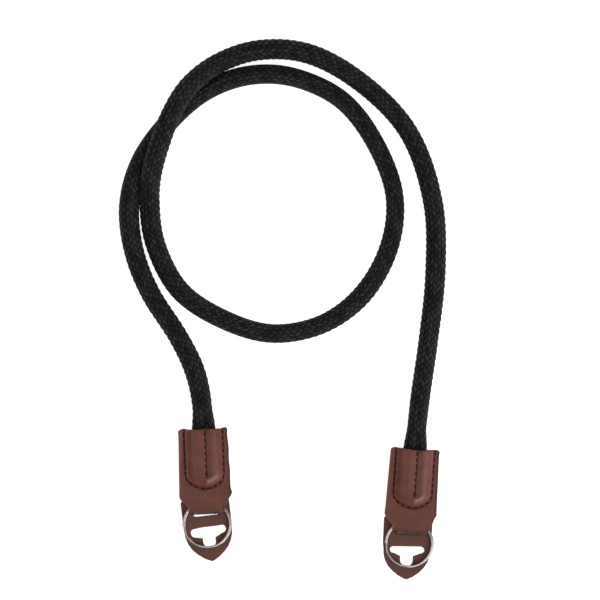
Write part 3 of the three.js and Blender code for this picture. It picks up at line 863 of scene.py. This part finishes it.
def leather_finish(name, dark, light, edge, roughness):
    finish, tree, shader = start_finish(name)
    place = millimetres(tree)
    clouds = add(tree, "TexNoise", {"Vector": place, "Scale": 0.16, "Detail": 4, "Roughness": 0.55})
    specks = add(tree, "TexNoise", {"Vector": place, "Scale": 1.6, "Detail": 4, "Roughness": 0.6})
    cells = add(tree, "TexVoronoi", {"Vector": place, "Scale": 2.6}, feature="DISTANCE_TO_EDGE")
    clouds, specks = clouds.outputs["Fac"], specks.outputs["Fac"]
    tones = maths(tree, "ADD", between(tree, specks, 0.05, 0.25), maths(tree, "MULTIPLY", clouds, 0.7))
    skin = ramp(tree, tones, (0.36, dark), (0.64, light))
    cut = mark_on(tree, "cut_edge")
    tan = maths(tree, "MULTIPLY", mark_on(tree, "tan_rim_and_painted_light"), TAN_SHARE)
    edge_share = maths(tree, "MAXIMUM", maths(tree, "MULTIPLY", cut, EDGE_SHARE), tan)
    edge_mix = {"Factor": edge_share, 6: skin, 7: (*edge, 1)}
    colour = add(tree, "Mix", edge_mix, data_type="RGBA").outputs[2]
    for mark, loss in JOINT_AND_PAINTED_SHADE.items():
        left_over = between(tree, mark_on(tree, mark), 1, 1 - loss)
        colour = add(tree, "VectorMath", {0: colour, "Scale": left_over}, operation="SCALE").outputs[0]
    pores = maths(tree, "MINIMUM", cells.outputs["Distance"], PORE_WIDTH)
    relief = maths(tree, "MULTIPLY_ADD", pores, PORE_DEPTH, specks)
    bump = add(tree, "Bump", {"Height": relief, "Strength": 0.14, "Distance": 0.05 * MM}).outputs[0]
    rough = maths(tree, "MULTIPLY_ADD", specks, SPECK_ROUGHNESS, roughness)
    set_input(tree, shader, "Base Color", colour)
    set_input(tree, shader, "Roughness", maths(tree, "MULTIPLY_ADD", cut, EDGE_ROUGHNESS, rough))
    set_input(tree, shader, "Normal", bump)
    set_input(tree, shader, "Specular IOR Level", 0.62)
    print(name, "nodes:", len(tree.nodes))
    return finish


tab_brown = leather_finish(
    "waxed_brown_leather",
    dark=(0.135, 0.0325, 0.018),
    light=(0.194, 0.051, 0.029),
    edge=(0.26, 0.1, 0.045),
    roughness=0.26,
)
protector_brown = leather_finish(
    "matt_brown_leather",
    dark=(0.1081, 0.0291, 0.0188),
    light=(0.1551, 0.047, 0.031),
    edge=(0.07, 0.022, 0.014),
    roughness=0.42,
)
for side in ends:
    tabs[side].data.materials.append(tab_brown)
    protectors[side].data.materials.append(protector_brown)

# %% [markdown]
# ## Split rings
# A split ring is flat spring wire wound nearly twice round, so its two coils lie on each other
# and the wire climbs from one to the other in a short step. It could be two rings and a bridge,
# but one wire wound like the real one also gets the step and both ends right. A small rounded
# section is extruded and turned about the ring's middle a little at a time. The upper coil sits
# half a millimetre to the side of the lower one, as on a ring that has been opened.

# %% The wire's section
RING_DIAMETER = 25.2
WIRE_WIDTH = 1.1
WIRE_HEIGHT = 1.0
WIRE_ROUNDING = 0.42
WIRE_END_ROUNDING = 0.12
WIRE_WELD = 0.001


def draw_section(place):
    upright = (math.pi / 2, 0, 0)
    bpy.ops.mesh.primitive_plane_add(size=WIRE_WIDTH * MM, location=place, rotation=upright)
    bpy.ops.object.transform_apply(location=True, rotation=True, scale=True)
    bpy.ops.object.mode_set(mode="EDIT")
    bpy.ops.mesh.select_all(action="SELECT")
    flatter = (1, 1, WIRE_HEIGHT / WIRE_WIDTH)
    bpy.ops.transform.resize(value=flatter, center_override=place)
    bpy.ops.mesh.bevel(offset=WIRE_ROUNDING * MM, segments=4, affect="VERTICES")
    bpy.ops.mesh.select_all(action="SELECT")
    return bpy.context.object


# %% Winding the wire
COIL_GAP = 0.1
UPPER_COIL_SHIFT = Vector((-0.5, 0.1, 0))
# Degrees round the ring: where the wire starts, how far it winds, and where it climbs
WIRE_START = 215
WIRE_WOUND = 688
CLIMB_FROM, CLIMB_TO = 330, 360
WINDING_STEPS = 86
SHARP_CORNER = math.radians(60)
SMOOTH_UNDER = math.radians(40)


def turn_selected(degrees, middle):
    # With no window this operator turns the other way, so the angle is given as minus
    bpy.ops.transform.rotate(value=-math.radians(degrees), orient_axis="Z", center_override=middle)


def share_climbed(wound):
    return float(eased((wound - CLIMB_FROM) / (CLIMB_TO - CLIMB_FROM)))


def wind_ring(name):
    deselect_all()
    coil_radius = (RING_DIAMETER - WIRE_WIDTH - UPPER_COIL_SHIFT.length) / 2
    ring = draw_section(Vector((coil_radius, 0, WIRE_HEIGHT / 2)) * MM)
    ring.name = ring.data.name = name
    turn_selected(WIRE_START, (0, 0, 0))
    climb = Vector((0, 0, WIRE_HEIGHT + COIL_GAP))
    step = WIRE_WOUND / WINDING_STEPS
    for i in range(WINDING_STEPS):
        before, after = share_climbed(i * step), share_climbed((i + 1) * step)
        move = (climb + UPPER_COIL_SHIFT) * (after - before) * MM
        bpy.ops.mesh.extrude_region_move(TRANSFORM_OT_translate={"value": move})
        turn_selected(step, UPPER_COIL_SHIFT * after * MM)
    bpy.ops.mesh.select_all(action="SELECT")
    bpy.ops.mesh.remove_doubles(threshold=WIRE_WELD * MM)
    bpy.ops.mesh.normals_make_consistent(inside=False)
    bpy.ops.object.mode_set(mode="OBJECT")
    rounding = ring.modifiers.new("rounded_ends", "BEVEL")
    rounding.width = WIRE_END_ROUNDING * MM
    rounding.segments = 2
    rounding.limit_method = "ANGLE"
    rounding.angle_limit = SHARP_CORNER
    bpy.ops.object.modifier_apply(modifier="rounded_ends")
    bpy.ops.object.shade_smooth_by_angle(angle=SMOOTH_UNDER)
    return ring


wound_ring = wind_ring("ring_left_wire")
print("ring faces:", len(wound_ring.data.polygons))
print("ring size in mm:", in_mm(wound_ring.dimensions))

# %% [markdown]
# ## Where the rings lie
# A ring hangs on the tab's fold and lies on the protector, which slopes down to the surface.
# One matrix holds that slope, another the ring's place on it, and each end's own matrix takes
# both to the strap. The second ring is a copy of the first.

# %% The rings in their folds
# The fold's line, the slope in degrees and the ring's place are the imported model's
LYING_PIVOT = (0, -41.887, 1.747)
LYING_SLOPE = 4.045
RING_IN_FOLD = (0.4, -48.151, 2.1)
slope = math.radians(LYING_SLOPE)
pivot = Matrix.Translation(Vector(LYING_PIVOT) * MM) @ Matrix.Rotation(slope, 4, "X")
along_slope = (RING_IN_FOLD[1] - LYING_PIVOT[1]) / math.cos(slope)
ring_middle = Vector((RING_IN_FOLD[0], along_slope, RING_IN_FOLD[2])) - UPPER_COIL_SHIFT / 2
ring_seat = pivot @ Matrix.Translation(ring_middle * MM)
rings = {"left": wound_ring}
rings["right"] = wound_ring.copy()
rings["right"].data = wound_ring.data.copy()
rings["right"].name = rings["right"].data.name = "ring_right_wire"
bpy.context.scene.collection.objects.link(rings["right"])
for side, ring in rings.items():
    ring.matrix_world = ends[side]["place"] @ ring_seat
    pick(ring)
    bpy.ops.object.transform_apply(location=True, rotation=True, scale=True)
    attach(ring, "root")
    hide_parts(f"ring_{side}")
    low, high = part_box(f"ring_{side}")
    corners = np.array([corner[:] for corner in ring.bound_box])
    print(ring.name, "from", in_mm(corners.min(axis=0)), "and in the packed model from", in_mm(low))
    print(ring.name, "to", in_mm(corners.max(axis=0)), "and in the packed model to", in_mm(high))

# %% [markdown]
# ## Ring metal
# The rings are nickel-plated steel: bright and a little warm, with fine scratches from being
# slid on and off. Noise drawn out to thin lines roughens the plating, and slow noise makes some
# places duller than others. Bright metal shows the room round it: its top is white from the
# boxes, and its flanks, which turn away from the eye, are painted dark in the metal's colour, a
# painted reflection of the dark studio behind them.

# %% The plating
SCRATCHES = {"Rotation": (0, 0, 0.6), "Scale": (0.5, 7, 7)}
plating, tree, shader = start_finish("warm_nickel_plating")
place = millimetres(tree)
dulling = add(tree, "TexNoise", {"Vector": place, "Scale": 0.35, "Detail": 3}).outputs["Fac"]
drawn_out = add(tree, "Mapping", {"Vector": place, **SCRATCHES}).outputs[0]
scratches = add(tree, "TexNoise", {"Vector": drawn_out, "Scale": 1.4, "Detail": 5}).outputs["Fac"]
metal = ramp(tree, dulling, (0.35, (0.6, 0.54, 0.51)), (0.65, (0.76, 0.7, 0.67)))
# Painted reflection: the metal's colour darkens where its flanks turn away from the eye
turned_away = add(tree, "LayerWeight", {"Blend": 0.5}).outputs["Facing"]
painted_dark_reflection = ramp(tree, turned_away, (0.1, (1, 1, 1)), (0.36, (0.13, 0.12, 0.12)))
metal_with_painted_reflection = add(tree, "VectorMath", {0: metal, 1: painted_dark_reflection}, operation="MULTIPLY").outputs[0]
rough = between(tree, scratches, 0.12, 0.32)
scratched = add(tree, "Bump", {"Height": scratches, "Strength": 0.1, "Distance": 0.01 * MM}).outputs[0]
set_input(tree, shader, "Base Color", metal_with_painted_reflection)
set_input(tree, shader, "Roughness", maths(tree, "MULTIPLY_ADD", dulling, 0.12, rough))
set_input(tree, shader, "Normal", scratched)
set_input(tree, shader, "Metallic", 1)
for ring in rings.values():
    ring.data.materials.append(plating)
print(plating.name, "nodes:", len(tree.nodes))

# %% [markdown]
# ## Stitching
# Each seam is a row of thick waxed thread stitches, about 3.3 mm from hole to hole, on the front
# and on the back. All stitches are alike, so one is modelled and copied: a short eight-sided
# cylinder whose ends are extruded, made thinner and bent down towards their holes.

# %% One stitch, lying along X on the surface
STITCH_THICK = 0.55
STITCH_STRAIGHT = 0.9
STITCH_SIDES = 8
# Each row bends the stitch's end once more: how far out, how far down, and how much thinner
STITCH_BENDS = ((0.35, 0.08, 0.88), (0.3, 0.26, 0.7))
# Turns of the twist in each millimetre, and how many strands it has round the thread
TWIST_ALONG = 1.5
TWIST_STRANDS = 2
END_FACING = 0.9


def select_end_face(stitch, way):
    bpy.ops.mesh.select_all(action="DESELECT")
    bpy.ops.object.mode_set(mode="OBJECT")
    for face in stitch.data.polygons:
        face.select = face.normal.x * way > END_FACING
    bpy.ops.object.mode_set(mode="EDIT")
    bpy.ops.mesh.select_mode(type="FACE")


def model_stitch():
    deselect_all()
    bpy.ops.mesh.primitive_cylinder_add(
        vertices=STITCH_SIDES,
        radius=STITCH_THICK / 2 * MM,
        depth=STITCH_STRAIGHT * MM,
        rotation=(0, math.pi / 2, 0),
    )
    stitch = bpy.context.object
    stitch.name = "stitch"
    bpy.ops.object.transform_apply(location=True, rotation=True, scale=True)
    bpy.ops.object.mode_set(mode="EDIT")
    for way in (-1, 1):
        select_end_face(stitch, way)
        end_place = Vector((way * STITCH_STRAIGHT / 2, 0, 0))
        for outwards, down, thinner in STITCH_BENDS:
            step = Vector((way * outwards, 0, -down))
            end_place += step
            bpy.ops.mesh.extrude_region_move(TRANSFORM_OT_translate={"value": step * MM})
            bpy.ops.transform.resize(value=(1, thinner, thinner), center_override=end_place * MM)
    bpy.ops.mesh.select_all(action="SELECT")
    bpy.ops.mesh.normals_make_consistent(inside=False)
    bpy.ops.object.mode_set(mode="OBJECT")
    bpy.ops.object.shade_smooth()
    return stitch


stitch = model_stitch()
points = read_vectors(stitch.data.vertices, "co") / MM
round_thread = np.arctan2(points[:, 1], points[:, 2]) / (2 * math.pi)
set_attribute(stitch, "twist", TWIST_ALONG * points[:, 0] + TWIST_STRANDS * round_thread)
print("faces in a stitch:", len(stitch.data.polygons))

# %% [markdown]
# ## Sewing
# A stitch goes between each hole and the next, on both faces of the tab. A ray that is shot
# straight down, or up for the back, finds how high the leather is at three spots along the
# stitch, so each stitch takes the slope of the leather and sinks into it a little. Hair or
# geometry nodes could scatter them too, but a ray for each stitch is easier to follow.

# %% Where each stitch sits
STITCH_SINK = 0.12
RAY_START = 20
SPOTS = (0.25, 0.5, 0.75)
FRONT, BACK = 1, -1


def surface_height(tab, end, spot, face):
    start = end["place"] @ Vector((spot[0] * MM, spot[1] * MM, (TAB_MIDDLE + face * RAY_START) * MM))
    hit, place, _, _ = tab.ray_cast(start, (0, 0, -face))
    return (end["place"].inverted() @ place).z / MM if hit else None


def stitch_seat(tab, end, first, second, face):
    spots = [first + (second - first) * share for share in SPOTS]
    heights = [surface_height(tab, end, spot, face) for spot in spots]
    if None in heights:
        return None
    run = (second - first) * (SPOTS[-1] - SPOTS[0])
    along_seam = Vector((run[0], run[1], heights[-1] - heights[0])).normalized()
    outwards = Vector((0, 0, face))
    sideways = outwards.cross(along_seam).normalized()
    outwards = along_seam.cross(sideways)
    lift = STITCH_THICK / 2 - STITCH_SINK
    height = max(heights) if face == FRONT else min(heights)
    middle = Vector((*spots[1], height)) + outwards * lift
    axes = Matrix((along_seam, sideways, outwards)).transposed().to_4x4()
    return end["place"] @ Matrix.Translation(middle * MM) @ axes


def seats_in(tab, end):
    for holes in (u_holes, middle_holes):
        for first, second in zip(holes, holes[1:]):
            for face in (FRONT, BACK):
                yield stitch_seat(tab, end, first, second, face)


# %% Sewing the seams
def copy_of_stitch(seat):
    copy = stitch.copy()
    copy.data = stitch.data.copy()
    bpy.context.scene.collection.objects.link(copy)
    copy.matrix_world = seat
    return copy


def sew(tab, end, name):
    sewn = [copy_of_stitch(seat) for seat in seats_in(tab, end) if seat is not None]
    deselect_all()
    for copy in sewn:
        copy.select_set(True)
    bpy.context.view_layer.objects.active = sewn[0]
    bpy.ops.object.transform_apply(location=True, rotation=True, scale=True)
    bpy.ops.object.join()
    seam = bpy.context.object
    seam.name = seam.data.name = name
    print(name, "stitches:", len(sewn), "faces:", len(seam.data.polygons))
    return seam


seams = {side: sew(tabs[side], end, f"stitching_{side}") for side, end in ends.items()}
bpy.data.objects.remove(stitch)
for seam in seams.values():
    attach(seam, "root")

# %% [markdown]
# ## Waxed thread
# The thread is dark brown and twisted. The twist is a soft wave along each stitch, carried by a
# value that every corner of the stitch was given while it was modelled, so it turns with the
# stitch wherever that is sewn.

# %% The thread's finish
thread_brown, tree, shader = start_finish("waxed_brown_thread")
twist = add(tree, "Attribute", attribute_name="twist").outputs["Fac"]
strands = maths(tree, "SINE", maths(tree, "MULTIPLY", twist, 2 * math.pi))
fluff = add(tree, "TexNoise", {"Vector": millimetres(tree), "Scale": 4, "Detail": 3}).outputs["Fac"]
tone = maths(tree, "ADD", maths(tree, "MULTIPLY", strands, 0.2), fluff)
thread_colour = ramp(tree, tone, (0.3, (0.012, 0.005, 0.004)), (0.8, (0.035, 0.014, 0.011)))
twisted = add(tree, "Bump", {"Height": strands, "Strength": 0.6, "Distance": 0.06 * MM}).outputs[0]
set_input(tree, shader, "Base Color", thread_colour)
set_input(tree, shader, "Roughness", between(tree, fluff, 0.55, 0.8))
set_input(tree, shader, "Specular IOR Level", 0.12)
set_input(tree, shader, "Normal", twisted)
for seam in seams.values():
    seam.data.materials.append(thread_brown)
print(thread_brown.name, "nodes:", len(tree.nodes))
